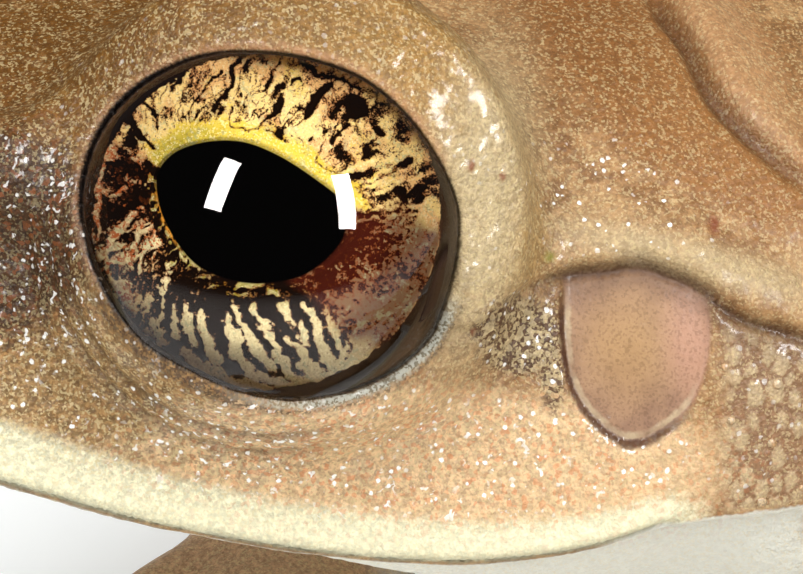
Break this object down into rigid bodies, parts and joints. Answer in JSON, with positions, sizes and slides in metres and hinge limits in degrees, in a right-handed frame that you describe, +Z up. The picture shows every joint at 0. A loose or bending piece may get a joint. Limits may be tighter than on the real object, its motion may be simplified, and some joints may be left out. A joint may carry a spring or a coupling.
{
  "type": "osteocephalus fuscifacies tree frog, life-size model",
  "caption": "Brown tree frog sitting with raised head, gold eyes with black netting, smooth eardrums and adhesive toe discs; still life-size animal model.",
  "frame": {"origin": "on the floor, under the middle of the whole model's box", "axes": "+Z up; the snout points along -Y; the frog's left side is +X"},
  "size_m": [0.0558, 0.046, 0.0182],
  "materials": {
    "brown_skin": "moist, finely granular brown skin",
    "cream_skin": "moist cream skin of the lower jaw and throat",
    "tympanum_skin": "smooth pinkish tan eardrum",
    "eye": "clear wet cornea over a gold iris with black netting"
  },
  "bodies": {
    "root": {"head": "brown_skin", "torso": "brown_skin", "upper_arm_left": "brown_skin", "upper_arm_right": "brown_skin", "forearm_left": "brown_skin", "forearm_right": "brown_skin", "hand_left": "brown_skin", "hand_right": "brown_skin", "thigh_left": "brown_skin", "thigh_right": "brown_skin", "shank_left": "brown_skin", "shank_right": "brown_skin", "tarsus_left": "brown_skin", "tarsus_right": "brown_skin", "foot_left": "brown_skin", "foot_right": "brown_skin", "lower_jaw": "cream_skin", "tympanum_left": "tympanum_skin", "tympanum_right": "tympanum_skin", "eye_left": "eye", "eye_right": "eye"}
  },
  "joints": []
}
